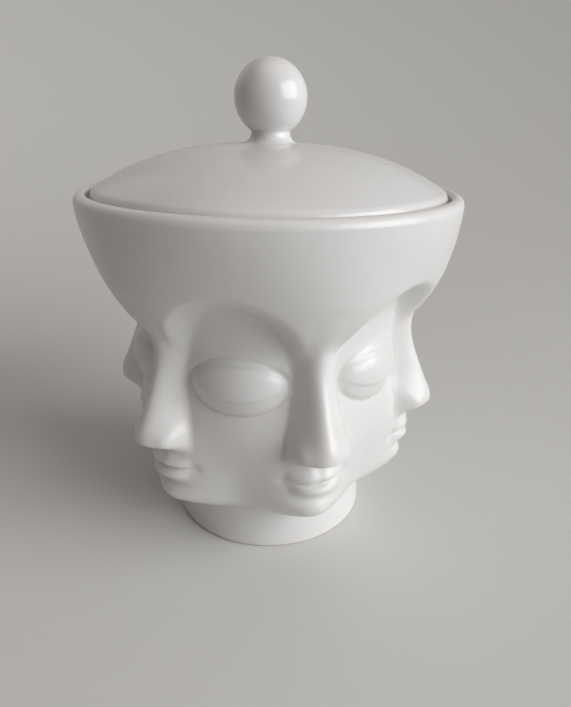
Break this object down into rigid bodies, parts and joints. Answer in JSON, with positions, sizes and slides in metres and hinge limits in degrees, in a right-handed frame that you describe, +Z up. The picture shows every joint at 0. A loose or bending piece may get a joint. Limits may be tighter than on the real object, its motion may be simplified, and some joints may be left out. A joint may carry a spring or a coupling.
{
  "type": "face vase",
  "caption": "Round white glazed ceramic face vase with a flared crown, a ring of calm relief faces, a low foot and a lift-off domed lid with a ball knob.",
  "frame": {"origin": "centre of the foot's flat ring, on the surface the vase stands on", "axes": "+Z up along the vase's turning axis through the knob; -Y points the way one of the faces looks"},
  "size_m": [0.17, 0.17, 0.2158],
  "materials": {
    "body_glaze": "satin",
    "lid_glaze": "gloss"
  },
  "bodies": {
    "jar": {"vessel": "body_glaze"},
    "lid": {"lid": "lid_glaze", "knob": "lid_glaze"}
  },
  "joints": [
    {"name": "lid_lift", "type": "slide", "parent": "jar", "child": "lid", "axis": [0, 0, 1], "range_m": [0, 0.06]}
  ]
}
